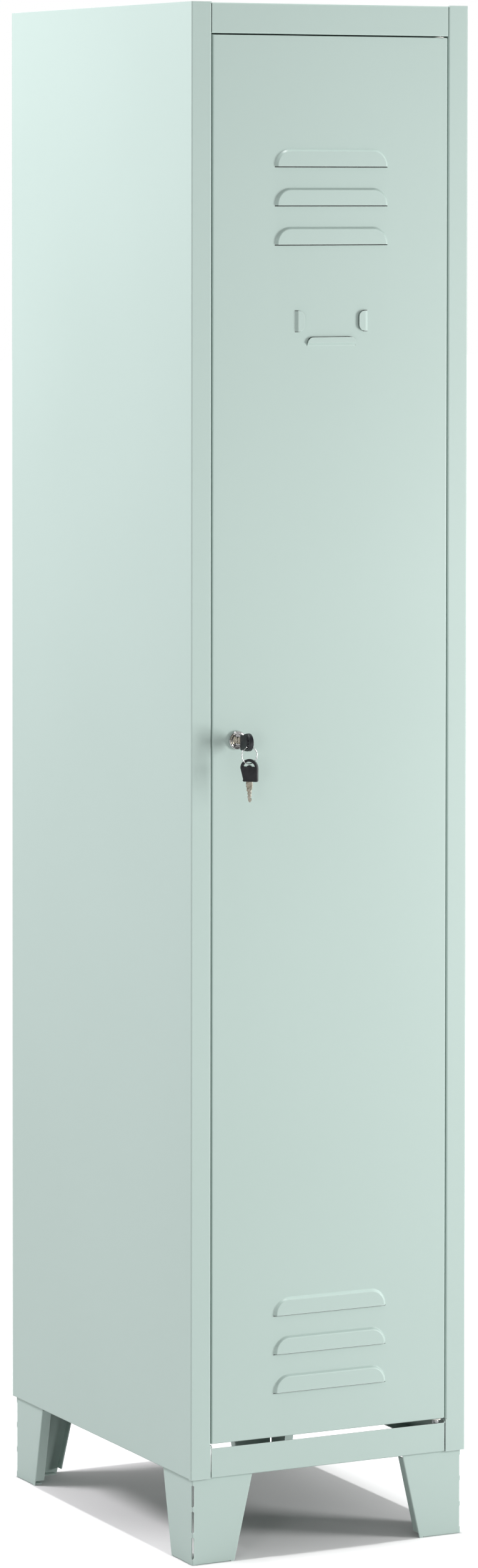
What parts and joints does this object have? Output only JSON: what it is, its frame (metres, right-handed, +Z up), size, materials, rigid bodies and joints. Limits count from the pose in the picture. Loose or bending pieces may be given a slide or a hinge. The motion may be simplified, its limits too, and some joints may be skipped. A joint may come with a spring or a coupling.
{
  "type": "locker cabinet",
  "caption": "Tall single-door sheet steel locker on folded legs, with pressed louvres, a card holder, a cam lock with keys, a hat shelf, a hanging rail and coat hooks.",
  "frame": {"origin": "on the floor, at the bottom centre of the whole object's box, which includes the key in the lock", "axes": "+Z up, +Y from the door to the back, +X to the right as seen facing the door"},
  "size_m": [0.36, 0.5412, 1.8],
  "materials": {
    "body_paint": "pale grey-green satin powder coat with a very fine texture",
    "zinc_plate": "bright zinc plate",
    "bright_chrome": "polished chrome plate",
    "key_metal": "nickel-plated, worn towards brass at the cuts",
    "key_plastic": "moulded black, slightly glossy",
    "nylon": "natural moulded nylon",
    "rubber_pad": "matt black rubber"
  },
  "bodies": {
    "cabinet": {"left_side_panel": "body_paint", "right_side_panel": "body_paint", "back_panel": "body_paint", "top_panel": "body_paint", "bottom_panel": "body_paint", "leg_front_left": "body_paint", "leg_front_right": "body_paint", "leg_rear_left": "body_paint", "leg_rear_right": "body_paint", "leg_bolts": "zinc_plate", "leg_nuts": "zinc_plate", "hat_shelf": "body_paint", "shelf_clips": "zinc_plate", "hanging_rail": "bright_chrome", "rail_brackets": "zinc_plate", "left_coat_hook": "bright_chrome", "right_coat_hook": "bright_chrome", "upper_hinge_pin": "zinc_plate", "lower_hinge_pin": "zinc_plate", "hinge_washer": "nylon", "door_buffers": "rubber_pad"},
    "door": {"door_panel": "body_paint", "door_stiffener": "body_paint", "upper_hinge_plate": "zinc_plate", "lower_hinge_plate": "zinc_plate", "upper_hinge_bush": "nylon", "lower_hinge_bush": "nylon", "lock_housing": "bright_chrome", "lock_nut": "zinc_plate"},
    "lock_barrel": {"lock_plug": "bright_chrome", "lock_cam": "zinc_plate", "cam_screw": "zinc_plate"},
    "key": {"key_one_blade": "key_metal", "key_one_head": "key_plastic"},
    "ring": {"key_ring": "bright_chrome"},
    "spare_key": {"key_two_blade": "key_metal", "key_two_head": "key_plastic"}
  },
  "joints": [
    {"name": "door_hinge", "type": "hinge", "parent": "cabinet", "child": "door", "pos_m": [0.144, -0.22343, 0.95], "axis": [0, 0, 1], "range_deg": [0, 110]},
    {"name": "lock_turn", "type": "hinge", "parent": "door", "child": "lock_barrel", "pos_m": [-0.1215, -0.23292, 0.9526], "axis": [0, 1, 0], "range_deg": [0, 90]},
    {"name": "key_withdraw", "type": "slide", "parent": "lock_barrel", "child": "key", "axis": [0, -1, 0], "range_m": [0, 0.03]},
    {"name": "ring_swing", "type": "hinge", "parent": "key", "child": "ring", "pos_m": [-0.1215, -0.26153, 0.9476], "axis": [1, 0, 0], "range_deg": [-40, 15]},
    {"name": "spare_key_swing", "type": "hinge", "parent": "ring", "child": "spare_key", "pos_m": [-0.1215, -0.26153, 0.9282], "axis": [1, 0, 0], "range_deg": [-15, 15]}
  ]
}
